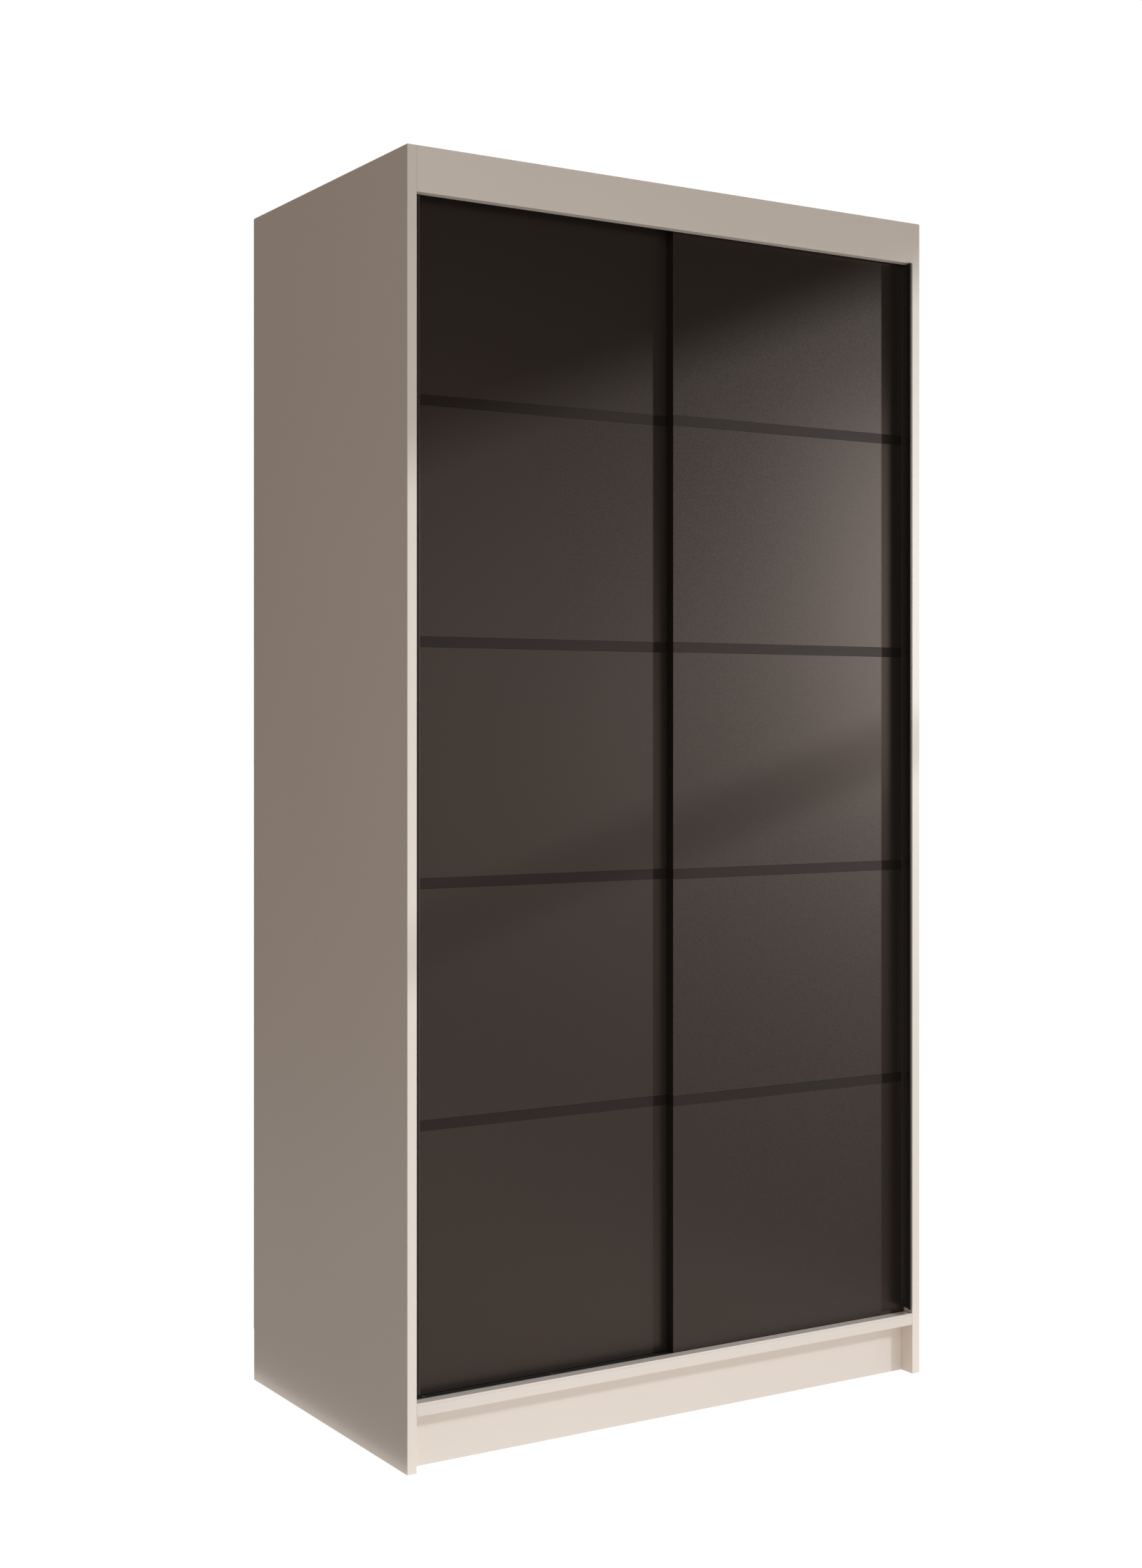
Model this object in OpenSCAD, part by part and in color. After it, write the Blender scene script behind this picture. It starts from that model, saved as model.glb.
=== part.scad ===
// Sliding door wardrobe: a board carcass with two doors that roll along a double track.
// Millimetres. +X to the right, +Y to the back, +Z up, doors face -Y, origin at the bottom centre.

/* [Overall size] */
// Outside width of the carcass
body_w = 1000; // [830:1:1200]
// Depth of the carcass with its back sheets
body_d = 580; // [480:1:700]
// Height from the floor to the top
body_h = 2000; // [1660:1:2400]

/* [Boards] */
// Thickness of the carcass boards
board_t = 16; // [13:0.5:20]
// Thickness of the two back sheets
back_t = 3; // [2.5:0.1:5]
// Height of the bottom panel's underside above the floor
base_h = 85; // [70:1:110]
// How far the plinth stands behind the front
plinth_inset = 30; // [10:1:60]
// Height of the board across the top of the doors
fascia_h = 70; // [60:1:100]

/* [Doors] */
// Thickness of a door board
door_t = 16; // [16:0.5:20]
// How far the front door stands behind the board across the top
door_inset = 5; // [4:0.5:10]
// Gap between the front door and the rear door
door_gap = 3; // [2.5:0.1:6]
// How far the closed doors pass behind one another
door_overlap = 8; // [4:1:30]
// Height of a decor strip
strip_h = 16; // [10:1:24]

/* [Handles] */
// How far a handle stands out of its door
handle_out = 29; // [24:1:36]
// Widest part of a handle across the door
handle_w = 10; // [8:0.5:14]
// Width of a handle where it meets the door
handle_root = 7; // [5:0.5:9]

/* [Running gear] */
// Outside radius of a wheel
wheel_r = 10; // [8:0.5:12]
// Width of a wheel
wheel_w = 5; // [4:0.5:6]
// Distance of a wheel and a guide from the door's edge
gear_in = 55; // [40:1:90]
// Travel of a guide pin
pin_travel = 12; // [8:1:14]

/* [Inside] */
// Height of the shelf over the rail, as a share of the inside
hat_share = 0.83; // [0.7:0.01:0.9]
// Wall of the hanging rail's tube
rail_wall = 1; // [0.8:0.1:2]

/* [Hidden] */
$fn = 48;
// the front handle stands proud of the carcass, and the origin is the middle of the whole box
front_face = board_t + door_inset;
lip_reach = max(0, handle_out - front_face);
front_y = -(body_d + lip_reach) / 2 + lip_reach;
// nail heads stand proud of the back sheets by this much, inside the stated depth
nail_head_h = 0.8;
back_y = body_d - nail_head_h - back_t;
inner_l = board_t;
inner_r = body_w - board_t;
inner_w = inner_r - inner_l;
floor_z = base_h + board_t;
ceil_z = body_h - board_t;
fascia_z = body_h - fascia_h;
// doors: front one on the right, rear one on the left
side_gap = 1;
door_w = (inner_w - 2 * side_gap + door_overlap) / 2;
left_x = inner_l + side_gap;
right_x = inner_r - side_gap - door_w;
rear_face = front_face + door_t + door_gap;
front_mid = front_face + door_t / 2;
rear_mid = rear_face + door_t / 2;
// bottom track
track_base = 1;
track_wall = 1.5;
track_ridge = 1;
bead_r = 1;
trim_h = 4;
run_gap = 0.3;
groove_in = 1;
groove_r = 1.6;
track_y0 = front_face - 2;
track_y1 = rear_face + door_t + 2;
trim_d = track_y0;
stop_h = 1.3;
stop_len = 12;
// the doors clear the running beads by this much
under_door = 0.5;
bead_top = floor_z + track_base + bead_r;
wheel_z = bead_top + run_gap + wheel_r - groove_in;
door_z = bead_top + under_door;
// top track and the doors' top edge
channel_half = 4;
top_base = 2;
top_fin = 12.5;
top_wall = 1.5;
door_top = ceil_z - top_base - top_fin - 3;
door_h = door_top - door_z;
// travel stops short of the rear door's handle
travel = door_w - door_overlap - handle_w - 9;
// handles end just under the board across the top
handle_lift = 10;
handle_z = door_z + handle_lift;
handle_top = fascia_z - 1;
edge_web = 0.8;
edge_lap = 1;
tip_round = 1.5;
// the strips share the door's height
strip_low = 0.2205 * door_h;
strip_pitch = 0.1986 * door_h;
strip_t = 1.2;
strip_sunk = 0.8;
// wheel housing let into the door's bottom edge
house_l = 44;
house_d = 10;
house_h = 29;
well_l = 2 * wheel_r + 3;
well_d = wheel_w + 1;
axle_r = 1.5;
axle_gap = 0.08;
plate_t = 1.5;
plate_l = 56;
plate_d = 12;
plate_hole_in = 3.5;
fit_gap = 0.1;
// guide let into the door's top edge
guide_l = 36;
guide_d = 12;
guide_h = 32;
pin_r = 3.5;
pin_collar_r = 4.2;
pin_collar_h = 3;
pin_gap = 0.3;
shoulder = 6;
pin_top = door_top + plate_t + pin_travel;
// fasteners
screw_r = 1.5;
screw_head_r = 2.8;
screw_head_h = 0.8;
screw_len = 14;
dowel_r = 4;
dowel_side = 10;
dowel_end = 20;
cam_r = 7.5;
cam_h = 12.5;
cam_in = 34;
bolt_r = 3;
bolt_thread_r = 2.5;
bolt_thread_l = 11;
bore_gap = 0.05;
nail_r = 0.8;
nail_len = 16;
nail_head_r = 1.8;
peg_r = 2.5;
peg_in = 7;
peg_out = 9;
// inside
shelf_count = 4;
part_l = body_w / 2 - board_t / 2;
part_r = part_l + board_t;
inside_y = track_y1 + 14;
shelf_y = inside_y + 5;
shelf_d = back_y - shelf_y;
shelf_gap = (ceil_z - floor_z - shelf_count * board_t) / (shelf_count + 1);
shelf_side = 0.5;
hat_z = floor_z + hat_share * (ceil_z - floor_z);
rail_r = 7.5;
rail_z = hat_z - 62;
rail_y = (inside_y + back_y) / 2;
cup_wall = 3;
cup_d = 12;
cup_back = 2;
rear_plinth_y = back_y - 20 - board_t;
// where the joints sit along the depth
joint_ys = [0.14 * body_d, 0.86 * body_d];
dowel_ys = [0.2 * body_d, 0.8 * body_d];
partition_ys = [inside_y + 70, back_y - 70];
partition_dowel_ys = [inside_y + 102, back_y - 102];
peg_ys = [shelf_y + 35, back_y - 35];

cashmere = [0.78, 0.74, 0.69];
graphite = [0.16, 0.145, 0.135];
strip_black = [0.1, 0.09, 0.085];
white_board = [0.9, 0.89, 0.87];
steel = [0.72, 0.73, 0.75];
zinc = [0.65, 0.66, 0.68];
black_plastic = [0.06, 0.06, 0.065];
beech = [0.8, 0.62, 0.4];

// x from the left outer side, y back from the carcass front, z from the floor
module place(x, y, z) {
    translate([x - body_w / 2, y + front_y, z]) children();
}

module block(x, y, z, w, d, h) {
    place(x, y, z) cube([w, d, h]);
}

// a rod along X from a side panel's inner face: back into the side, forward into the board
module side_rod(right, y, z, r, into_side, into_board) {
    place(right ? inner_r : inner_l, y, z)
        rotate([0, right ? -90 : 90, 0])
            translate([0, 0, -into_side])
                cylinder(r = r, h = into_side + into_board);
}

module side_dowels(ys, z, more = 0) {
    for (y = ys, right = [false, true])
        side_rod(right, y, z, dowel_r + (more > 0 ? bore_gap : 0), dowel_side + more, dowel_end + more);
}

module side_bolts(z, more = 0) {
    gap = more > 0 ? bore_gap : 0;
    for (y = joint_ys, right = [false, true]) {
        side_rod(right, y, z, bolt_thread_r + gap, bolt_thread_l + more, 0);
        side_rod(right, y, z, bolt_r + gap, 0, cam_in - 3);
    }
}

// z is the face the cams are let into, up is 1 when they sink upwards
module side_cams(z, up, gap = 0) {
    for (y = joint_ys, right = [false, true])
        place(right ? inner_r - cam_in : inner_l + cam_in, y, up > 0 ? z : z - cam_h)
            cylinder(r = cam_r + gap, h = cam_h);
}

module upright_dowels(ys, z, down, up, gap = 0) {
    for (y = ys)
        place(body_w / 2, y, z - down) cylinder(r = dowel_r + gap, h = down + up);
}

module partition_bolts(more = 0) {
    gap = more > 0 ? bore_gap : 0;
    for (y = partition_ys) {
        place(body_w / 2, y, floor_z - bolt_thread_l - more)
            cylinder(r = bolt_thread_r + gap, h = bolt_thread_l + more);
        place(body_w / 2, y, floor_z) cylinder(r = bolt_r + gap, h = cam_in - 3);
        place(body_w / 2, y, ceil_z) cylinder(r = bolt_thread_r + gap, h = bolt_thread_l + more);
        place(body_w / 2, y, ceil_z - cam_in + 3) cylinder(r = bolt_r + gap, h = cam_in - 3);
    }
}

module partition_cams(gap = 0) {
    for (y = partition_ys, z = [floor_z + cam_in, ceil_z - cam_in])
        place(part_r - cam_h, y, z) rotate([0, 90, 0]) cylinder(r = cam_r + gap, h = cam_h);
}

function shelf_z(i) = floor_z + i * shelf_gap + (i - 1) * board_t;

module peg(x, y, top, r, back, out) {
    place(x - back, y, top - peg_r) rotate([0, 90, 0]) cylinder(r = r, h = back + out);
}

// pegs that stand out of the face at x, to the right when dir is 1
module face_pegs(x, dir, tops, r, inside, out) {
    for (top = tops, y = peg_ys)
        peg(x, y, top, r, dir > 0 ? inside : out, dir > 0 ? out : inside);
}

left_tops = [for (i = [1 : shelf_count]) shelf_z(i)];

module side_panel(right) {
    face = right ? inner_r : inner_l;
    tops = right ? [hat_z] : left_tops;
    difference() {
        block(right ? inner_r : 0, 0, 0, board_t, back_y, body_h);
        side_dowels(dowel_ys, ceil_z + board_t / 2, 0.3);
        side_dowels(dowel_ys, base_h + board_t / 2, 0.3);
        side_bolts(ceil_z + board_t / 2, 0.3);
        side_bolts(base_h + board_t / 2, 0.3);
        fascia_dowels(0.3);
        plinth_dowels(plinth_inset, 0.3);
        plinth_dowels(rear_plinth_y, 0.3);
        face_pegs(face, right ? -1 : 1, tops, peg_r + bore_gap, peg_in + 0.3, peg_out);
    }
}

module fascia_dowels(more = 0) {
    for (z = [fascia_z + 18, ceil_z])
        side_dowels([board_t / 2], z, more);
}

module plinth_dowels(y, more = 0) {
    for (z = [20, base_h - 20])
        side_dowels([y + board_t / 2], z, more);
}

module side_panel_left() {
    color(cashmere) side_panel(false);
}

module side_panel_right() {
    color(cashmere) side_panel(true);
}

module top_panel() {
    color(cashmere) difference() {
        block(inner_l, board_t, ceil_z, inner_w, back_y - board_t, board_t);
        side_dowels(dowel_ys, ceil_z + board_t / 2, 0.3);
        side_bolts(ceil_z + board_t / 2, 0.3);
        side_cams(ceil_z, 1, bore_gap);
        upright_dowels(partition_dowel_ys, ceil_z, 1, dowel_side + 0.3, bore_gap);
        partition_bolts(0.3);
    }
}

module bottom_panel() {
    color(cashmere) difference() {
        block(inner_l, 0, base_h, inner_w, back_y, board_t);
        side_dowels(dowel_ys, base_h + board_t / 2, 0.3);
        side_bolts(base_h + board_t / 2, 0.3);
        side_cams(base_h, 1, bore_gap);
        upright_dowels(partition_dowel_ys, floor_z, dowel_side + 0.3, 1, bore_gap);
        partition_bolts(0.3);
    }
}

module fascia() {
    color(cashmere) difference() {
        block(inner_l, 0, fascia_z, inner_w, board_t, fascia_h);
        fascia_dowels(0.3);
    }
}

module plinth(y) {
    difference() {
        block(inner_l, y, 0, inner_w, board_t, base_h);
        plinth_dowels(y, 0.3);
    }
}

module plinth_front() {
    color(cashmere) plinth(plinth_inset);
}

module plinth_rear() {
    color(cashmere) plinth(rear_plinth_y);
}

module partition() {
    color(white_board) difference() {
        block(part_l, inside_y, floor_z, board_t, back_y - inside_y, ceil_z - floor_z);
        upright_dowels(partition_dowel_ys, floor_z, 1, dowel_end + 0.3, bore_gap);
        upright_dowels(partition_dowel_ys, ceil_z, dowel_end + 0.3, 1, bore_gap);
        partition_bolts(0.3);
        partition_cams(bore_gap);
        face_pegs(part_l, -1, left_tops, peg_r + bore_gap, peg_in + 0.3, peg_out);
        face_pegs(part_r, 1, [hat_z], peg_r + bore_gap, peg_in + 0.3, peg_out);
    }
}

module back_sheet(x0, x1) {
    block(x0, back_y, base_h + 2, x1 - x0, back_t, body_h - base_h - 3);
}

module back_sheet_left() {
    color(white_board) back_sheet(1, body_w / 2 - 0.25);
}

module back_sheet_right() {
    color(white_board) back_sheet(body_w / 2 + 0.25, body_w - 1);
}

module shelf(x0, x1, z) {
    block(x0 + shelf_side, shelf_y, z, x1 - x0 - 2 * shelf_side, shelf_d, board_t);
}

module shelf_1() {
    color(white_board) shelf(inner_l, part_l, shelf_z(1));
}

module shelf_2() {
    color(white_board) shelf(inner_l, part_l, shelf_z(2));
}

module shelf_3() {
    color(white_board) shelf(inner_l, part_l, shelf_z(3));
}

module shelf_4() {
    color(white_board) shelf(inner_l, part_l, shelf_z(4));
}

module hat_shelf() {
    color(white_board) shelf(part_r, inner_r, hat_z);
}

// an upright oval: two rounds and the straight part between them
module oval(r, len) {
    for (z = [-rail_r, rail_r])
        translate([0, 0, z]) rotate([0, 90, 0]) cylinder(r = r, h = len);
    translate([0, -r, -rail_r]) cube([len, 2 * r, 2 * rail_r]);
}

module hanging_rail() {
    color(steel) difference() {
        place(part_r + cup_back, rail_y, rail_z) oval(rail_r, inner_r - part_r - 2 * cup_back);
        place(part_r, rail_y, rail_z) oval(rail_r - rail_wall, inner_r - part_r);
    }
}

module rail_cup(right) {
    x = right ? inner_r : part_r;
    place(x, rail_y, rail_z) mirror([right ? 1 : 0, 0, 0]) difference() {
        union() {
            oval(rail_r + cup_wall, cup_d);
            translate([0, -8, -30]) cube([cup_back, 16, 60]);
        }
        translate([cup_back, 0, 0]) oval(rail_r + 0.1, cup_d);
        for (z = [-24, 24])
            translate([-1, 0, z]) rotate([0, 90, 0]) cylinder(r = screw_r + bore_gap, h = cup_back + 2);
    }
}

module rail_cups() {
    color(zinc) {
        rail_cup(false);
        rail_cup(true);
    }
}

// a screw driven along +Z, its head's underside at the origin and its shank above
module screw(len) {
    cylinder(r = screw_r, h = len);
    translate([0, 0, -screw_head_h]) cylinder(r = screw_head_r, h = screw_head_h);
}

module rail_screws() {
    color(zinc) for (z = [-24, 24]) {
        place(part_r + cup_back, rail_y, rail_z + z) rotate([0, -90, 0]) screw(screw_len);
        place(inner_r - cup_back, rail_y, rail_z + z) rotate([0, 90, 0]) screw(screw_len);
    }
}

top_screw_xs = [for (i = [0 : 3]) inner_l + 60 + i * (inner_w - 120) / 3];
bottom_screw_xs = [for (i = [0 : 4]) inner_l + 30 + i * (inner_w - 60) / 4];
top_screw_y = (front_mid + rear_mid) / 2;
// the bottom heads lie beside the wheels' path
bottom_screw_off = wheel_w / 2 + screw_head_r + 0.1;
bottom_screw_ys = [front_mid + bottom_screw_off, rear_mid - bottom_screw_off];

module track_top() {
    color(white_board) difference() {
        union() {
            block(inner_l, track_y0, ceil_z - top_base, inner_w, track_y1 - track_y0, top_base);
            for (mid = [front_mid, rear_mid], side = [-1, 1])
                block(inner_l, mid + side * (channel_half + top_wall / 2) - top_wall / 2,
                    ceil_z - top_base - top_fin, inner_w, top_wall, top_fin + 1);
        }
        for (x = top_screw_xs)
            place(x, top_screw_y, ceil_z - top_base - 1) cylinder(r = screw_r + bore_gap, h = top_base + 2);
    }
}

module track_bottom() {
    color(black_plastic) difference() {
        union() {
            block(inner_l, track_y0, floor_z, inner_w, track_y1 - track_y0, track_base);
            for (y = [track_y0, (front_mid + rear_mid - track_wall) / 2, track_y1 - track_wall])
                block(inner_l, y, floor_z, inner_w, track_wall, track_base + track_ridge);
            for (mid = [front_mid, rear_mid])
                place(inner_l, mid, floor_z + track_base) rotate([0, 90, 0]) cylinder(r = bead_r, h = inner_w);
        }
        for (x = bottom_screw_xs, y = bottom_screw_ys)
            place(x, y, floor_z - 1) cylinder(r = screw_r + bore_gap, h = track_base + 2);
    }
}

module track_trim() {
    color(cashmere) block(inner_l, 0, floor_z, inner_w, trim_d, trim_h);
}

module track_screws() {
    color(zinc) {
        for (x = bottom_screw_xs, y = bottom_screw_ys)
            place(x, y, floor_z + track_base) rotate([180, 0, 0]) screw(screw_len);
        for (x = top_screw_xs)
            place(x, top_screw_y, ceil_z - top_base) screw(screw_len);
    }
}

// a wheel meets a stop this far from its axle
stop_reach = sqrt(pow(wheel_r, 2) - pow(wheel_z - floor_z - track_base - stop_h, 2)) + 0.5;

module track_stop(face, dir, mid) {
    difference() {
        block(dir > 0 ? face : face - stop_len, mid - 3, floor_z + track_base, stop_len, 6, stop_h);
        place(0, mid, floor_z + track_base) rotate([0, 90, 0]) cylinder(r = bead_r, h = body_w);
    }
}

module track_stops() {
    color(black_plastic) {
        track_stop(left_x + gear_in - stop_reach, -1, rear_mid);
        track_stop(left_x + door_w - gear_in + travel + stop_reach, 1, rear_mid);
        track_stop(right_x + gear_in - travel - stop_reach, -1, front_mid);
        track_stop(right_x + door_w - gear_in + stop_reach, 1, front_mid);
    }
}

module cam_locks() {
    color(zinc) difference() {
        union() {
            side_cams(ceil_z, 1);
            side_cams(base_h, 1);
            partition_cams();
        }
        side_bolts(ceil_z + board_t / 2, 0.3);
        side_bolts(base_h + board_t / 2, 0.3);
        partition_bolts(0.3);
    }
}

module cam_bolts() {
    color(steel) {
        side_bolts(ceil_z + board_t / 2);
        side_bolts(base_h + board_t / 2);
        partition_bolts();
    }
}

module dowels() {
    color(beech) {
        side_dowels(dowel_ys, ceil_z + board_t / 2);
        side_dowels(dowel_ys, base_h + board_t / 2);
        fascia_dowels();
        plinth_dowels(plinth_inset);
        plinth_dowels(rear_plinth_y);
        upright_dowels(partition_dowel_ys, floor_z, dowel_side, dowel_end);
        upright_dowels(partition_dowel_ys, ceil_z, dowel_end, dowel_side);
    }
}

module shelf_pegs() {
    color(steel) {
        face_pegs(inner_l, 1, left_tops, peg_r, peg_in, peg_out);
        face_pegs(part_l, -1, left_tops, peg_r, peg_in, peg_out);
        face_pegs(part_r, 1, [hat_z], peg_r, peg_in, peg_out);
        face_pegs(inner_r, -1, [hat_z], peg_r, peg_in, peg_out);
    }
}

module nail(x, z) {
    place(x, back_y + back_t, z) rotate([90, 0, 0]) cylinder(r = nail_r, h = nail_len);
    place(x, back_y + back_t, z) rotate([-90, 0, 0]) cylinder(r = nail_head_r, h = nail_head_h);
}

module back_nails() {
    rows = 10;
    first = base_h + 60;
    step = (body_h - 40 - first) / (rows - 1);
    color(zinc) {
        for (x = [board_t / 2, body_w / 2 - 4, body_w / 2 + 4, body_w - board_t / 2], i = [0 : rows - 1])
            nail(x, first + i * step);
        for (x = [0.14, 0.28, 0.42, 0.58, 0.72, 0.86], z = [base_h + board_t / 2, ceil_z + board_t / 2])
            nail(x * body_w, z);
    }
}

// a door's board: x0 is its left edge, face its front, outer is -1 when the handle is on its left
module door_board(x0, face, outer) {
    mid = face + door_t / 2;
    board_x = outer < 0 ? x0 + edge_web : x0;
    difference() {
        block(board_x, face, door_z, door_w - edge_web, door_t, door_h);
        for (x = [x0 + gear_in, x0 + door_w - gear_in]) {
            block(x - house_l / 2, mid - house_d / 2, door_z - 1, house_l, house_d, house_h + 1);
            block(x - plate_l / 2 - fit_gap, mid - plate_d / 2 - fit_gap, door_z - 1,
                plate_l + 2 * fit_gap, plate_d + 2 * fit_gap, plate_t + 1);
            block(x - guide_l / 2, mid - guide_d / 2, door_top - guide_h, guide_l, guide_d, guide_h + 1);
        }
        for (i = [0 : 3])
            block(strip_x(x0, outer) - (outer < 0 ? 0 : 1), face - 1, strip_z(i), door_w - handle_root + 1,
                strip_sunk + 1, strip_h);
    }
}

function strip_x(x0, outer) = outer < 0 ? x0 + handle_root : x0;

function strip_z(i) = door_z + strip_low + i * strip_pitch - strip_h / 2;

module door_strip(x0, face, outer, i) {
    block(strip_x(x0, outer), face + strip_sunk - strip_t, strip_z(i), door_w - handle_root, strip_t, strip_h);
}

// the hollow grip side of a handle, and its crowned outer side, both as arcs across two points
grip_a = [-handle_root, 0];
grip_b = [-handle_w, -(handle_out - 5)];
grip_sag = 3.5;
nose_a = [-handle_w + tip_round, -handle_out];
nose_b = [0, -(handle_out - 10)];
nose_sag = 0.7;

function arc_r(a, b, sag) = pow(norm(b - a), 2) / (8 * sag) + sag / 2;

function arc_mid(a, b, sag, way) =
    (a + b) / 2 + way * (arc_r(a, b, sag) - sag) * [(b - a)[1], -(b - a)[0]] / norm(b - a);

// a length of handle: the door's outer edge at x 0, its front face at y 0, forward is -y
module handle_bar(len) {
    grip = arc_mid(grip_a, grip_b, grip_sag, 1);
    nose = arc_mid(nose_a, nose_b, nose_sag, -1);
    difference() {
        intersection() {
            translate([-handle_w, -handle_out, 0]) cube([handle_w, handle_out, len]);
            translate([nose[0], nose[1], -1])
                cylinder(r = arc_r(nose_a, nose_b, nose_sag), h = len + 2, $fn = 96);
        }
        translate([grip[0], grip[1], -1])
            cylinder(r = arc_r(grip_a, grip_b, grip_sag), h = len + 2, $fn = 96);
    }
    translate([-edge_web, -1, 0]) cube([edge_web, door_t + edge_lap + 1, len]);
    translate([-handle_w, door_t, 0]) cube([handle_w, edge_lap, len]);
}

module handle_at(x, face, flip) {
    place(x, face, handle_z) mirror([flip, 0, 0]) handle_bar(handle_top - handle_z);
}

// a housing fills the pocket, its plate is let in flush with the door's bottom edge
module housing(x, mid) {
    difference() {
        union() {
            block(x - house_l / 2 + fit_gap, mid - house_d / 2 + fit_gap, door_z,
                house_l - 2 * fit_gap, house_d - 2 * fit_gap, house_h - fit_gap);
            block(x - plate_l / 2, mid - plate_d / 2, door_z, plate_l, plate_d, plate_t);
        }
        block(x - well_l / 2, mid - well_d / 2, door_z - 1, well_l, well_d,
            wheel_z + wheel_r + 1.5 - door_z + 1);
        place(x, mid - house_d / 2 - 1, wheel_z) rotate([-90, 0, 0])
            cylinder(r = axle_r, h = house_d + 2);
        for (side = [-1, 1])
            place(x + side * (plate_l / 2 - plate_hole_in), mid, door_z - 1) {
                cylinder(r = screw_r + bore_gap, h = plate_t + 2);
                cylinder(r = screw_head_r + bore_gap, h = 1 + screw_head_h);
            }
    }
}

module axle(x, mid) {
    place(x, mid - house_d / 2 + fit_gap, wheel_z) rotate([-90, 0, 0])
        cylinder(r = axle_r, h = house_d - 2 * fit_gap);
}

// a wheel with a grooved rim and five round openings in its disc
module wheel(x, mid) {
    place(x, mid, wheel_z) rotate([-90, 0, 0]) difference() {
        translate([0, 0, -wheel_w / 2]) cylinder(r = wheel_r, h = wheel_w, $fn = 64);
        rotate_extrude($fn = 64) translate([wheel_r - groove_in + groove_r, 0]) circle(r = groove_r, $fn = 32);
        translate([0, 0, -wheel_w]) cylinder(r = axle_r + axle_gap, h = 2 * wheel_w);
        for (a = [0 : 72 : 288])
            rotate([0, 0, a]) translate([wheel_r * 0.52, 0, -wheel_w]) cylinder(r = 1.5, h = 2 * wheel_w);
    }
}

module guide(x, mid) {
    difference() {
        union() {
            block(x - guide_l / 2 + fit_gap, mid - guide_d / 2 + fit_gap, door_top - guide_h + fit_gap,
                guide_l - 2 * fit_gap, guide_d - 2 * fit_gap, guide_h + 0.5);
            block(x - plate_l / 2, mid - plate_d / 2, door_top, plate_l, plate_d, plate_t);
        }
        place(x, mid, door_top - guide_h + 2) cylinder(r = pin_collar_r + pin_gap, h = guide_h - 2 - shoulder);
        place(x, mid, door_top - guide_h + 2) cylinder(r = pin_r + pin_gap, h = guide_h + 5);
        for (side = [-1, 1])
            place(x + side * (plate_l / 2 - 4), mid, door_top - 1)
                cylinder(r = screw_r + bore_gap, h = plate_t + 2);
    }
}

module guide_pin(x, mid) {
    collar_top = door_top - shoulder - pin_gap;
    place(x, mid, collar_top - pin_collar_h) cylinder(r = pin_collar_r, h = pin_collar_h);
    place(x, mid, collar_top - 1) cylinder(r = pin_r, h = pin_top - collar_top + 1);
}

module door_screws(x0, mid) {
    for (x = [x0 + gear_in, x0 + door_w - gear_in], side = [-1, 1]) {
        place(x + side * (plate_l / 2 - plate_hole_in), mid, door_z + screw_head_h) screw(screw_len);
        place(x + side * (plate_l / 2 - 4), mid, door_top + plate_t) rotate([180, 0, 0]) screw(screw_len);
    }
}

module door_left_board() {
    color(graphite) door_board(left_x, rear_face, -1);
}

module door_left_handle() {
    color(black_plastic) handle_at(left_x, rear_face, 1);
}

module door_left_strip_1() {
    color(strip_black) door_strip(left_x, rear_face, -1, 0);
}

module door_left_strip_2() {
    color(strip_black) door_strip(left_x, rear_face, -1, 1);
}

module door_left_strip_3() {
    color(strip_black) door_strip(left_x, rear_face, -1, 2);
}

module door_left_strip_4() {
    color(strip_black) door_strip(left_x, rear_face, -1, 3);
}

module door_left_housings() {
    color(black_plastic) for (x = [left_x + gear_in, left_x + door_w - gear_in])
        housing(x, rear_mid);
}

module door_left_axles() {
    color(steel) for (x = [left_x + gear_in, left_x + door_w - gear_in])
        axle(x, rear_mid);
}

module door_left_wheel_1() {
    color(white_board) wheel(left_x + gear_in, rear_mid);
}

module door_left_wheel_2() {
    color(white_board) wheel(left_x + door_w - gear_in, rear_mid);
}

module door_left_guides() {
    color(black_plastic) for (x = [left_x + gear_in, left_x + door_w - gear_in])
        guide(x, rear_mid);
}

module door_left_pin_1() {
    color(white_board) guide_pin(left_x + gear_in, rear_mid);
}

module door_left_pin_2() {
    color(white_board) guide_pin(left_x + door_w - gear_in, rear_mid);
}

module door_left_screws() {
    color(zinc) door_screws(left_x, rear_mid);
}

module door_right_board() {
    color(graphite) door_board(right_x, front_face, 1);
}

module door_right_handle() {
    color(black_plastic) handle_at(right_x + door_w, front_face, 0);
}

module door_right_strip_1() {
    color(strip_black) door_strip(right_x, front_face, 1, 0);
}

module door_right_strip_2() {
    color(strip_black) door_strip(right_x, front_face, 1, 1);
}

module door_right_strip_3() {
    color(strip_black) door_strip(right_x, front_face, 1, 2);
}

module door_right_strip_4() {
    color(strip_black) door_strip(right_x, front_face, 1, 3);
}

module door_right_housings() {
    color(black_plastic) for (x = [right_x + gear_in, right_x + door_w - gear_in])
        housing(x, front_mid);
}

module door_right_axles() {
    color(steel) for (x = [right_x + gear_in, right_x + door_w - gear_in])
        axle(x, front_mid);
}

module door_right_wheel_1() {
    color(white_board) wheel(right_x + gear_in, front_mid);
}

module door_right_wheel_2() {
    color(white_board) wheel(right_x + door_w - gear_in, front_mid);
}

module door_right_guides() {
    color(black_plastic) for (x = [right_x + gear_in, right_x + door_w - gear_in])
        guide(x, front_mid);
}

module door_right_pin_1() {
    color(white_board) guide_pin(right_x + gear_in, front_mid);
}

module door_right_pin_2() {
    color(white_board) guide_pin(right_x + door_w - gear_in, front_mid);
}

module door_right_screws() {
    color(zinc) door_screws(right_x, front_mid);
}

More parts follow.
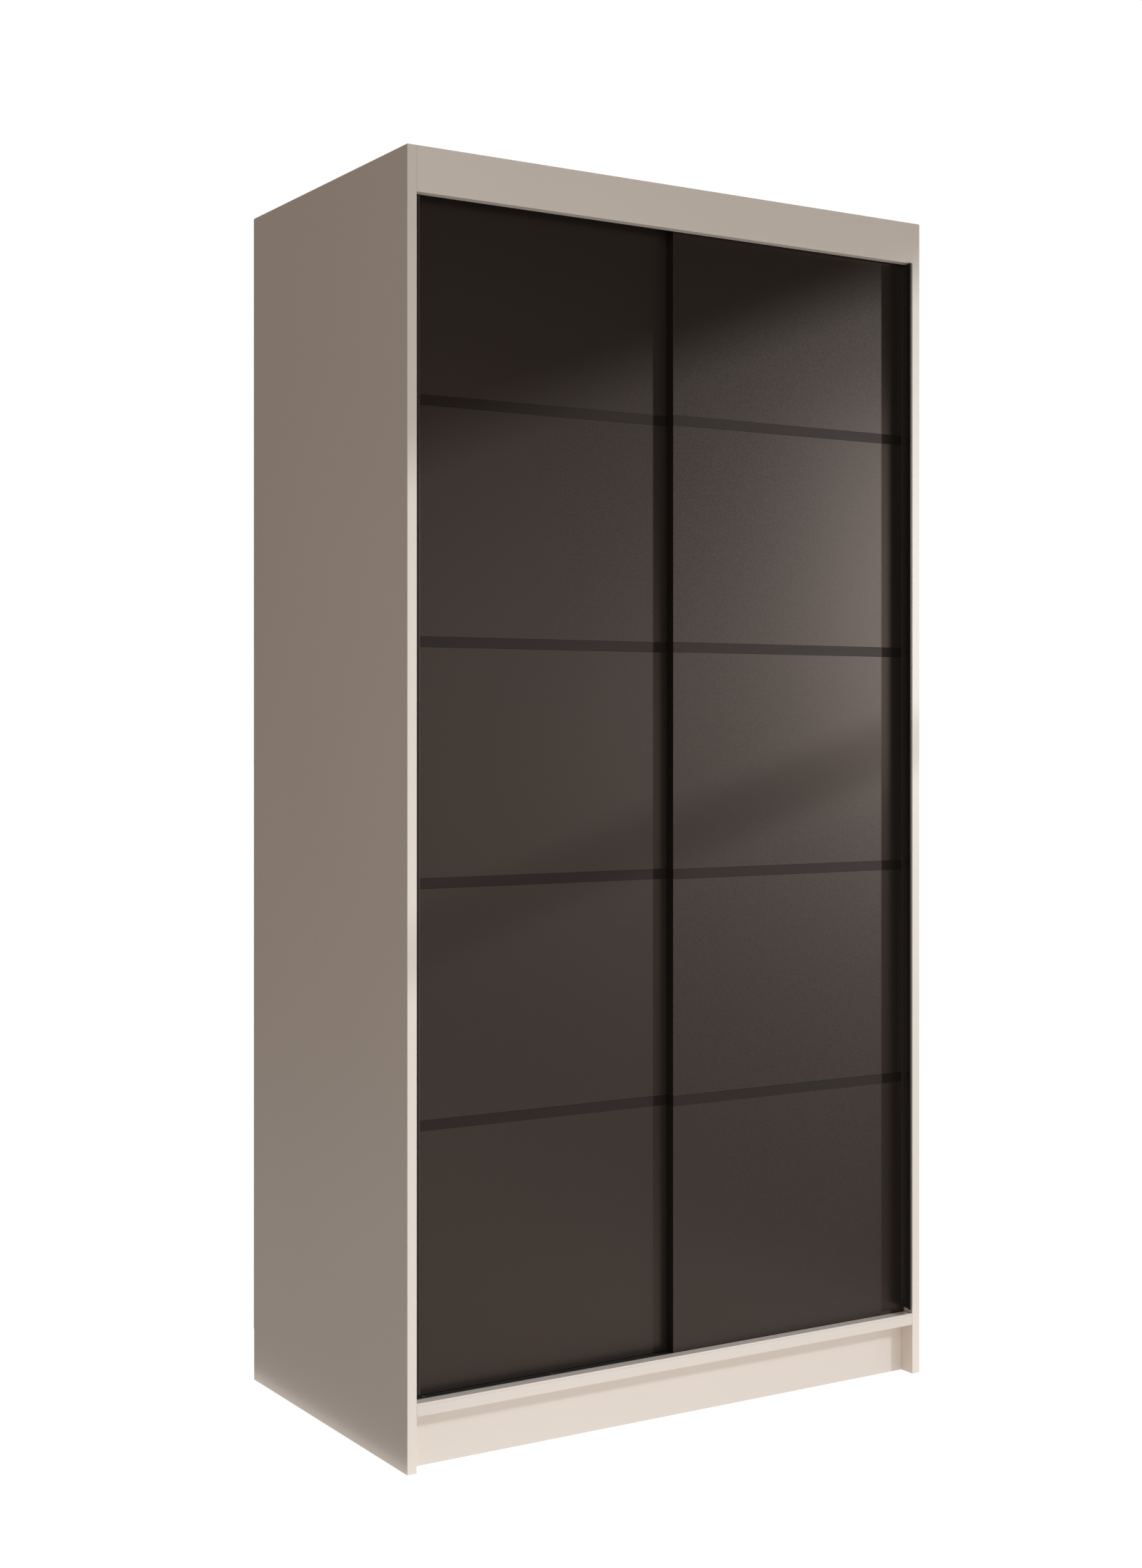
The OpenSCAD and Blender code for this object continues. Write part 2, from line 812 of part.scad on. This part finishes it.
side_panel_left();
side_panel_right();
top_panel();
bottom_panel();
fascia();
plinth_front();
plinth_rear();
partition();
back_sheet_left();
back_sheet_right();
shelf_1();
shelf_2();
shelf_3();
shelf_4();
hat_shelf();
hanging_rail();
rail_cups();
rail_screws();
track_top();
track_bottom();
track_trim();
track_screws();
track_stops();
cam_locks();
cam_bolts();
dowels();
shelf_pegs();
back_nails();
door_left_board();
door_left_handle();
door_left_strip_1();
door_left_strip_2();
door_left_strip_3();
door_left_strip_4();
door_left_housings();
door_left_axles();
door_left_wheel_1();
door_left_wheel_2();
door_left_guides();
door_left_pin_1();
door_left_pin_2();
door_left_screws();
door_right_board();
door_right_handle();
door_right_strip_1();
door_right_strip_2();
door_right_strip_3();
door_right_strip_4();
door_right_housings();
door_right_axles();
door_right_wheel_1();
door_right_wheel_2();
door_right_guides();
door_right_pin_1();
door_right_pin_2();
door_right_screws();
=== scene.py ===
import math

import bpy
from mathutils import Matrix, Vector


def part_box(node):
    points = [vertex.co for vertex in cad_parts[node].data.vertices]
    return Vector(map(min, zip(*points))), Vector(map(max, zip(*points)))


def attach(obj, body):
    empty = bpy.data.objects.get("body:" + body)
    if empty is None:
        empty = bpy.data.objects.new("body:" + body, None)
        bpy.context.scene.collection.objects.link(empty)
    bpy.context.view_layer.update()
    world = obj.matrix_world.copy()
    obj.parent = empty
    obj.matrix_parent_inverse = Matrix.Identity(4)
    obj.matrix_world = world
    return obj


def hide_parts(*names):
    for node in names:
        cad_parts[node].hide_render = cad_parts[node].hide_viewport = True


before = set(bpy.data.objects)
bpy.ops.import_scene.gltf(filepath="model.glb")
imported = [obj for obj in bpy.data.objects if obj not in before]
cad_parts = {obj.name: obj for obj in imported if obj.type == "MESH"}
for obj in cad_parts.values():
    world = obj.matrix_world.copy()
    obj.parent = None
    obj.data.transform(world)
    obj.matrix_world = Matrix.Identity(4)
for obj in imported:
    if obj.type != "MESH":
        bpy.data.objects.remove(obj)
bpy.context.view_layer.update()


# The carcass: two sides, a top, a bottom, a board across the doors and two plinths.
# 16 mm chipboard faced with satin cashmere melamine, front edges banded in 0.8 mm ABS,
# put together with cams and dowels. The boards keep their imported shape, with eased arrises.
BAND_T = 0.0008
SEAM_HALF = 0.00006
BOARD_EASE = 0.0005
EDGE_EASE = 0.0004
CASHMERE = (0.60, 0.505, 0.43)


class Finish:
    """A material under construction: its node tree and its Principled shader."""

    def __init__(self, name, colour, roughness, metallic=0.0, specular=0.5):
        self.mat = bpy.data.materials.new(name)
        self.mat.use_nodes = True
        self.tree = self.mat.node_tree
        self.shader = self.tree.nodes["Principled BSDF"]
        self.shader.inputs["Base Color"].default_value = (*colour, 1)
        self.shader.inputs["Roughness"].default_value = roughness
        self.shader.inputs["Metallic"].default_value = metallic
        self.shader.inputs["Specular IOR Level"].default_value = specular
        self.mat.diffuse_color = (*colour, 1)
        self.where = self.node("ShaderNodeTexCoord").outputs["Object"]

    def node(self, kind, **settings):
        made = self.tree.nodes.new(kind)
        for key, value in settings.items():
            setattr(made, key, value)
        return made

    def join(self, source, target):
        self.tree.links.new(source, target)

    def maths(self, operation, a, b=None, clamp=False):
        """One maths step; a and b are sockets or numbers."""
        made = self.node("ShaderNodeMath", operation=operation, use_clamp=clamp)
        for socket, value in zip(made.inputs, (a, b)):
            if value is None:
                continue
            if isinstance(value, (int, float)):
                socket.default_value = value
            else:
                self.join(value, socket)
        return made.outputs[0]

    def axis(self, name):
        split = self.node("ShaderNodeSeparateXYZ")
        self.join(self.where, split.inputs[0])
        return split.outputs[name]

    def noise(self, per_metre, detail=3.0, stretch=(1, 1, 1)):
        """Noise of so many cells a metre, longer along an axis whose stretch is under 1."""
        scale = self.node("ShaderNodeMapping")
        scale.inputs["Scale"].default_value = [per_metre * s for s in stretch]
        self.join(self.where, scale.inputs["Vector"])
        made = self.node("ShaderNodeTexNoise")
        made.inputs["Scale"].default_value = 1.0
        made.inputs["Detail"].default_value = detail
        self.join(scale.outputs[0], made.inputs["Vector"])
        return made.outputs["Fac"]

    def blend(self, factor, first, second):
        """A colour between two, as a socket."""
        mix = self.node("ShaderNodeMix", data_type="RGBA")
        self.join(factor, mix.inputs["Factor"])
        for socket, value in ((mix.inputs[6], first), (mix.inputs[7], second)):
            if isinstance(value, tuple):
                socket.default_value = (*value, 1)
            else:
                self.join(value, socket)
        return mix.outputs[2]

    def remap(self, value, lo, hi, to_lo, to_hi):
        made = self.node("ShaderNodeMapRange")
        self.join(value, made.inputs["Value"])
        ends = {"From Min": lo, "From Max": hi, "To Min": to_lo, "To Max": to_hi}
        for name, number in ends.items():
            made.inputs[name].default_value = number
        return made.outputs[0]

    def paint(self, colour):
        self.join(colour, self.shader.inputs["Base Color"])

    def rough(self, value):
        self.join(value, self.shader.inputs["Roughness"])

    def bumps(self, height, depth):
        """Surface relief; depth is in metres between the lowest and the highest point."""
        bump = self.node("ShaderNodeBump")
        bump.inputs["Strength"].default_value = 1.0
        bump.inputs["Distance"].default_value = depth
        self.join(height, bump.inputs["Height"])
        self.join(bump.outputs[0], self.shader.inputs["Normal"])


def shade(colour, factor):
    return tuple(c * factor for c in colour)


def melamine(name, seam_y=None):
    """Satin melamine: a pressed pearl texture, faint clouding and the hairline of the edge band."""
    board = Finish(name, CASHMERE, 0.38)
    cloud = board.noise(3.0, 2.0)
    colour = board.blend(cloud, shade(CASHMERE, 0.975), shade(CASHMERE, 1.02))
    if seam_y is not None:
        off = board.maths("ABSOLUTE", board.maths("SUBTRACT", board.axis("Y"), seam_y))
        seam = board.maths("LESS_THAN", off, SEAM_HALF)
        colour = board.blend(seam, colour, shade(CASHMERE, 0.55))
    board.paint(colour)
    pearl = board.noise(2600.0, 2.0)
    board.rough(board.remap(board.noise(420.0, 2.0), 0.3, 0.7, 0.34, 0.42))
    board.bumps(pearl, 0.000012)
    return board.mat


WELD_REACH = 0.000005
SAME_PLANE = math.radians(0.3)
SHARP_EDGE = math.radians(50)


def dress(node, mat, ease=0.0):
    """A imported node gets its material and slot, and rounded arrises where ease is given."""
    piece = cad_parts[node]
    piece.data.materials.clear()
    piece.data.materials.append(mat)
    if ease:
        weld = piece.modifiers.new("weld", "WELD")
        weld.merge_threshold = WELD_REACH
        flat = piece.modifiers.new("flat", "DECIMATE")
        flat.decimate_type = "DISSOLVE"
        flat.angle_limit = SAME_PLANE
        bevel = piece.modifiers.new("ease", "BEVEL")
        bevel.width = ease
        bevel.segments = 2
        bevel.limit_method = "ANGLE"
        bevel.angle_limit = SHARP_EDGE
        bevel.use_clamp_overlap = False
        bevel.harden_normals = True
    return piece


carcass_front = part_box("side_panel_left")[0].y
board_front = melamine("cashmere melamine, banded front", carcass_front + BAND_T)
board_plain = melamine("cashmere melamine")
for node in ("side_panel_left", "side_panel_right", "bottom_panel"):
    dress(node, board_front, BOARD_EASE)
for node in ("top_panel", "fascia", "plinth_front", "plinth_rear"):
    dress(node, board_plain, EDGE_EASE)


# The inside: an upright partition, four shelves on pegs on the left and a hat shelf on the right.
# The same board, banded on the front edge only.
partition_band = melamine("cashmere melamine, partition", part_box("partition")[0].y + BAND_T)
shelf_band = melamine("cashmere melamine, shelves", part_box("shelf_1")[0].y + BAND_T)
dress("partition", partition_band, EDGE_EASE)
for node in ("shelf_1", "shelf_2", "shelf_3", "shelf_4", "hat_shelf"):
    dress(node, shelf_band, EDGE_EASE)


# The back: two sheets of 3 mm hardboard, lacquered pale on the inside and raw brown behind. They
# lie against the rear edges of the carcass, meet on the partition and are nailed on all round.
BACK_PALE = (0.62, 0.53, 0.45)
BACK_RAW = (0.235, 0.140, 0.075)

back = Finish("lacquered hardboard", BACK_PALE, 0.5)
back_lo, back_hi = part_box("back_sheet_left")
behind = back.maths("GREATER_THAN", back.axis("Y"), (back_lo.y + back_hi.y) / 2)
fibres = back.noise(260.0, 5.0, (1, 1, 0.35))
fleck = back.remap(back.noise(900.0, 3.0), 0.35, 0.7, 0.0, 1.0)
raw = back.blend(fibres, shade(BACK_RAW, 0.72), shade(BACK_RAW, 1.35))
raw = back.blend(back.maths("MULTIPLY", fleck, 0.35), raw, shade(BACK_RAW, 1.9))
back.paint(back.blend(behind, back.blend(back.noise(5.0), shade(BACK_PALE, 0.97), BACK_PALE), raw))
back.rough(back.remap(behind, 0.0, 1.0, 0.45, 0.8))
back.bumps(fibres, 0.00004)
for node in ("back_sheet_left", "back_sheet_right"):
    dress(node, back.mat)


# The rail: an oval drawn steel tube, chromed, held in two zinc cups screwed to the partition and
# the right side. The same bright zinc plate is on every screw, nail, peg, cam, bolt and axle.
chrome = Finish("chromed tube", (0.78, 0.79, 0.80), 0.12, 1.0)
drawn = chrome.noise(1500.0, 2.0, (0.01, 1, 1))
chrome.rough(chrome.remap(drawn, 0.3, 0.7, 0.09, 0.17))
chrome.bumps(drawn, 0.000002)
dress("hanging_rail", chrome.mat)

zinc = Finish("bright zinc plate", (0.60, 0.61, 0.63), 0.32, 1.0)
zinc_cloud = zinc.noise(900.0, 3.0)
zinc.paint(zinc.blend(zinc_cloud, (0.50, 0.51, 0.54), (0.68, 0.68, 0.68)))
zinc.rough(zinc.remap(zinc_cloud, 0.3, 0.7, 0.25, 0.42))
zinc.bumps(zinc.noise(3000.0, 2.0), 0.000004)
for node in (
    "rail_cups", "rail_screws", "track_screws", "cam_locks", "cam_bolts", "back_nails",
    "shelf_pegs", "door_left_screws", "door_right_screws", "door_left_axles", "door_right_axles",
):
    dress(node, zinc.mat)


# The dowels: 8 mm beech pins glued into the ends of the top, the bottom, the board across the
# doors, the plinths and the partition. They line the boards up and are hidden once it stands.
beech = Finish("beech", (0.56, 0.38, 0.22), 0.65)
flutes = beech.noise(700.0, 3.0, (0.15, 1, 1))
beech.paint(beech.blend(flutes, (0.46, 0.30, 0.16), (0.64, 0.46, 0.28)))
beech.bumps(flutes, 0.00005)
dress("dowels", beech.mat)


# The tracks: a pale extruded plastic channel under the top, a black one with two running beads on
# the bottom panel, and a cashmere trim in front of it. Extruded, so the drawing lines run along X.
def extruded(name, colour, roughness):
    """Extruded plastic with faint drawing lines along the length."""
    made = Finish(name, colour, roughness)
    lines = made.noise(2200.0, 2.0, (0.004, 1, 1))
    made.paint(made.blend(lines, shade(colour, 0.92), shade(colour, 1.06)))
    made.rough(made.remap(lines, 0.3, 0.7, roughness - 0.05, roughness + 0.06))
    made.bumps(lines, 0.000006)
    return made.mat


TRACK_PALE = (0.72, 0.69, 0.65)
TRACK_BLACK = (0.022, 0.021, 0.021)
STOP_EASE = 0.0003
dress("track_top", extruded("pale extruded plastic", TRACK_PALE, 0.45))
black_track = extruded("black extruded plastic", TRACK_BLACK, 0.5)
dress("track_bottom", black_track)
dress("track_stops", black_track, STOP_EASE)
dress("track_trim", extruded("cashmere extruded plastic", CASHMERE, 0.4), EDGE_EASE)


# The doors: 16 mm board with a smooth semi-gloss foil in graphite brown, plain all over.
# Two boards, the right one in front. The foil reflects softly and shows very faint press waves,
# and the upright edges are banded in a matt strip of the same colour.
GRAPHITE = (0.0135, 0.0103, 0.0085)
WARM_GLOSS = (1.0, 0.71, 0.575)
FOIL_GLOSS = 0.40
BAND_GLOSS = 0.06
FOIL_EASE = 0.0003
door_foil = Finish("graphite foil", GRAPHITE, 0.30, 0.0, FOIL_GLOSS)
door_foil.shader.inputs["Specular Tint"].default_value = (*WARM_GLOSS, 1)
door_foil.paint(
    door_foil.blend(door_foil.noise(2.0, 1.0), shade(GRAPHITE, 0.96), shade(GRAPHITE, 1.04))
)
door_foil.rough(door_foil.remap(door_foil.noise(350.0, 2.0), 0.3, 0.7, 0.28, 0.33))
edge_face = door_foil.node("ShaderNodeSeparateXYZ")
door_foil.join(door_foil.node("ShaderNodeNewGeometry").outputs["True Normal"], edge_face.inputs[0])
sideways = door_foil.maths("ABSOLUTE", edge_face.outputs["X"])
edge_band = door_foil.maths("GREATER_THAN", sideways, 0.9)
edge_gloss = door_foil.remap(edge_band, 0.0, 1.0, FOIL_GLOSS, BAND_GLOSS)
door_foil.join(edge_gloss, door_foil.shader.inputs["Specular IOR Level"])
door_foil.bumps(door_foil.noise(900.0, 2.0), 0.000003)
for node in ("door_left_board", "door_right_board"):
    dress(node, door_foil.mat, FOIL_EASE)


# The decor strips: four flat plastic strips across each door, duller and darker than the foil.
# Each is glued into a groove 0.8 mm deep and stands 0.4 mm proud of the door's face.
STRIP = (0.0072, 0.0056, 0.0048)
STRIP_EASE = 0.00015
strip_matt = Finish("matt strip", STRIP, 0.5, 0.0, 0.17)
strip_matt.shader.inputs["Specular Tint"].default_value = (*WARM_GLOSS, 1)
strip_lines = strip_matt.noise(1800.0, 2.0, (0.01, 1, 1))
strip_matt.paint(strip_matt.blend(strip_lines, shade(STRIP, 0.85), shade(STRIP, 1.15)))
strip_matt.rough(strip_matt.remap(strip_lines, 0.3, 0.7, 0.42, 0.50))
strip_matt.bumps(strip_lines, 0.000008)
for side in ("left", "right"):
    for i in (1, 2, 3, 4):
        dress(f"door_{side}_strip_{i}", strip_matt.mat, STRIP_EASE)


# The handles: one black aluminium extrusion the height of each door, with a hollow grip side, a
# crowned nose, and a thin web that wraps the door's edge. Cut square, with the sawn ends eased.
HANDLE_ROOT = 0.007
EDGE_WEB = 0.0008
EDGE_LAP = 0.001
GRIP_TIP = 0.005
GRIP_SAG = 0.0035
NOSE_SET = 0.0085
NOSE_RISE = 0.010
NOSE_SAG = 0.0007
DOOR_T = 0.016
GRIP_STEPS = 24
NOSE_STEPS = 10
END_EASE = 0.0004

handle_black = Finish("black anodised aluminium", (0.018, 0.016, 0.015), 0.34, 0.0, 0.35)
handle_black.shader.inputs["Specular Tint"].default_value = (*WARM_GLOSS, 1)
die_lines = handle_black.noise(2600.0, 2.0, (1, 1, 0.003))
handle_black.paint(handle_black.blend(die_lines, (0.015, 0.0135, 0.0125), (0.021, 0.019, 0.018)))
handle_black.rough(handle_black.remap(die_lines, 0.3, 0.7, 0.28, 0.40))
handle_black.bumps(die_lines, 0.000004)


def arc(a, b, sag, way, steps):
    """Points from a to b along a shallow arc that bulges by sag to one side."""
    a, b = Vector(a), Vector(b)
    chord = b - a
    across = Vector((chord.y, -chord.x)) / chord.length * way
    points = []
    for i in range(steps + 1):
        t = i / steps
        points.append(a + chord * t - across * sag * (1 - (2 * t - 1) ** 2))
    return points


def handle_outline(width, reach):
    """The section seen from above: x 0 is the door's outer edge, y 0 its front face."""
    grip = arc((-HANDLE_ROOT, 0), (-width, GRIP_TIP - reach), GRIP_SAG, 1, GRIP_STEPS)
    nose = arc((-NOSE_SET, -reach), (0, NOSE_RISE - reach), NOSE_SAG, -1, NOSE_STEPS)
    lap = DOOR_T + EDGE_LAP
    wrap = [(0, lap), (-width, lap), (-width, DOOR_T), (-EDGE_WEB, DOOR_T), (-EDGE_WEB, 0)]
    return grip + [Vector((-width, -reach))] + nose + [Vector(p) for p in wrap]


def extrude(name, outline, lo_z, hi_z, place_x, place_y, mirror):
    """A closed prism of that outline, flipped across x when mirror is -1."""
    n = len(outline)
    verts = [
        (place_x + mirror * p.x, place_y + p.y, z) for z in (lo_z, hi_z) for p in outline
    ]
    faces = [(i, (i + 1) % n, n + (i + 1) % n, n + i) for i in range(n)]
    faces += [tuple(range(n))[::-1], tuple(range(n, 2 * n))]
    mesh = bpy.data.meshes.new(name)
    mesh.from_pydata(verts, [], faces)
    mesh.update()
    made = bpy.data.objects.new(name, mesh)
    bpy.context.scene.collection.objects.link(made)
    return made


for side, mirror in (("left", -1), ("right", 1)):
    node = f"door_{side}_handle"
    lo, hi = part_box(node)
    reach = hi.y - lo.y - DOOR_T - EDGE_LAP
    outer_x = hi.x if mirror > 0 else lo.x
    outline = handle_outline(hi.x - lo.x, reach)
    handle = extrude(f"{side}_door_handle", outline, lo.z, hi.z, outer_x, lo.y + reach, mirror)
    handle.data.materials.append(handle_black.mat)
    bevel = handle.modifiers.new("eased ends", "BEVEL")
    bevel.width = END_EASE
    bevel.segments = 3
    bevel.limit_method = "ANGLE"
    bevel.angle_limit = math.radians(35)
    bevel.harden_normals = True
    for face in handle.data.polygons:
        face.use_smooth = True
    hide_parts(node)
    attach(handle, f"door_{side}")


# The running gear: housings and guides let into the door edges, nylon wheels on steel axles below
# and sprung nylon pins above. Moulded black and natural plastic with a fine spark-eroded texture.
def moulded(name, colour, roughness):
    """Injection-moulded plastic."""
    made = Finish(name, colour, roughness)
    made.paint(made.blend(made.noise(160.0), shade(colour, 0.94), shade(colour, 1.06)))
    made.rough(made.remap(made.noise(1200.0), 0.3, 0.7, roughness - 0.06, roughness + 0.06))
    made.bumps(made.noise(2400.0, 2.0), 0.00001)
    return made.mat


black_moulded = moulded("black moulded plastic", (0.020, 0.020, 0.021), 0.5)
nylon = moulded("natural nylon", (0.70, 0.68, 0.62), 0.42)
for side in ("left", "right"):
    for node in (f"door_{side}_housings", f"door_{side}_guides"):
        dress(node, black_moulded)
    for i in (1, 2):
        dress(f"door_{side}_wheel_{i}", nylon)
        dress(f"door_{side}_pin_{i}", nylon)


# The studio: a pale sweep under a white surround, a small softbox close on the right, a low lamp
# from the front right behind a flag and a bar, a snooted lamp for the plinth, two soft fills on the
# left, a dark flag in front above, a grey wall on the left and two grey rugs.
scene = bpy.context.scene
scene.view_settings.view_transform = "Standard"

world = bpy.data.worlds.new("surround")
scene.world = world
world.use_nodes = True
world.node_tree.nodes["Background"].inputs["Color"].default_value = (1, 1, 1, 1)
world.node_tree.nodes["Background"].inputs["Strength"].default_value = 1.02


def sheet_of(name, corners, mat):
    """A flat studio panel through four corners."""
    mesh = bpy.data.meshes.new(name)
    mesh.from_pydata(corners, [], [(0, 1, 2, 3)])
    mesh.update()
    made = bpy.data.objects.new(name, mesh)
    made.data.materials.append(mat)
    scene.collection.objects.link(made)
    return made


def glowing(name, colour, strength):
    """A studio cloth that gives off an even light of its own and reflects none."""
    cloth = Finish(name, (0.0, 0.0, 0.0), 1.0, 0.0, 0.0)
    cloth.shader.inputs["Emission Color"].default_value = (*colour, 1)
    cloth.shader.inputs["Emission Strength"].default_value = strength
    return cloth.mat


FLOOR_HALF = 60.0
pale = Finish("pale sweep", (0.20, 0.20, 0.20), 0.9, 0.0, 0.0)
pale.shader.inputs["Emission Color"].default_value = (1, 1, 1, 1)
pale.shader.inputs["Emission Strength"].default_value = 0.93
corners = [(-1, -1), (1, -1), (1, 1), (-1, 1)]
sheet_of("floor", [(x * FLOOR_HALF, y * FLOOR_HALF, 0) for x, y in corners], pale.mat)

RUG_Z = 0.002


def lying(left_x, right_x, near_y, far_y):
    """The four corners of a cloth laid on the floor."""
    spots = (left_x, near_y), (right_x, near_y), (right_x, far_y), (left_x, far_y)
    return [(x, y, RUG_Z) for x, y in spots]


felt = glowing("black flag", (1, 0.9, 0.83), 0.12)
wall_cloth = glowing("grey wall", (1, 0.85, 0.75), 0.25)
rug_cloth = glowing("grey rug", (1, 1, 1), 0.45)
flags = [
    sheet_of(name, corners, cloth)
    for name, cloth, corners in (
        ("front flag", felt, [(-9, -5, -1.7), (9, -5, 4.6), (9, -5, 12), (-9, -5, 12)]),
        ("key flag", felt, [(0.8, -2, 1.264), (5.0, -2, 2.944), (5.0, -2, 5), (0.8, -2, 5)]),
        ("key bar", felt, [(0.8, -2, 0.598), (5.0, -2, 1.942), (5.0, -2, 1.986), (0.8, -2, 0.642)]),
        ("left wall", wall_cloth, [(-3.4, -5, 0), (-1.25, 5, 0), (-1.25, 5, 7), (-3.4, -5, 7)]),
        ("left rug", rug_cloth, lying(-3.2, -0.52, -5, 6)),
        ("right rug", rug_cloth, lying(0.7, 7, -7, -0.6)),
    )
]
for flag in flags:
    flag.visible_camera = False


def lamp(name, kind, place, aim, energy, **settings):
    data = bpy.data.lights.new(name, kind)
    data.energy = energy
    for key, value in settings.items():
        setattr(data, key, value)
    made = bpy.data.objects.new(name, data)
    made.location = place
    made.rotation_mode = "QUATERNION"
    made.rotation_quaternion = (Vector(aim) - Vector(place)).to_track_quat("-Z", "Y")
    scene.collection.objects.link(made)
    return made


lamp(
    "near softbox", "AREA", (1.08, -0.94, 1.40), (0.2, -0.25, 1.2), 1.8,
    shape="RECTANGLE", size=0.4, size_y=0.8, color=(0.95, 1.0, 1.0),
)
low_key = lamp(
    "low key", "SUN", (8.170, -5.720, 0.698), (0.0, 0.0, 0.0), 1.88, angle=math.radians(2.0),
    color=(0.90, 1.0, 1.06),
)
plinth_key = lamp(
    "plinth key", "SUN", (4.990, -6.620, 5.590), (0.0, 0.0, 0.0), 1.2, angle=math.radians(6),
    color=(0.86, 1.0, 1.18),
)
# the snoot keeps the plinth key on the pieces under the doors, and the low key leaves them to it
for key, state in ((plinth_key, "INCLUDE"), (low_key, "EXCLUDE")):
    low_front = bpy.data.collections.new(f"{key.name} pieces")
    for node in ("plinth_front", "track_trim", "bottom_panel"):
        low_front.objects.link(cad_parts[node])
    for entry in low_front.collection_objects:
        entry.light_linking.link_state = state
    key.light_linking.receiver_collection = low_front
unflagged = bpy.data.collections.new("flags out of the plinth key")
for flag in flags:
    unflagged.objects.link(flag)
for entry in unflagged.collection_objects:
    entry.light_linking.link_state = "EXCLUDE"
plinth_key.light_linking.blocker_collection = unflagged
lamp(
    "low fill", "AREA", (-0.9, -2.6, 0.3), (-0.1, -0.25, 0.6), 16.0,
    shape="RECTANGLE", size=1.2, size_y=0.4, color=(0.87, 1.0, 1.10),
)
lamp(
    "high fill", "AREA", (-1.2, -3.0, 2.6), (0.0, -0.25, 1.8), 21.5,
    shape="RECTANGLE", size=1.2, size_y=1.2, color=(0.93, 1.0, 1.03),
)


# The camera stands at the left front, level, a little over half the wardrobe's height, with a
# normal lens and a small shift that frames the whole piece.
LENS_MM = 50.48
LENS_SHIFT = (-0.0153, -0.0347)
STANDPOINT = (-2.0136, -3.2322, 1.1199)
SIGHT = (0.5310, 0.8474)
camera_data = bpy.data.cameras.new("camera")
camera_data.sensor_fit = "AUTO"
camera_data.sensor_width = 36.0
camera_data.lens = LENS_MM
camera_data.shift_x, camera_data.shift_y = LENS_SHIFT
camera_data.clip_start = 0.05
camera_data.clip_end = 200.0
camera = bpy.data.objects.new("camera", camera_data)
camera.location = STANDPOINT
camera.rotation_euler = (math.radians(90), 0, -math.atan2(*SIGHT))
scene.collection.objects.link(camera)
scene.camera = camera
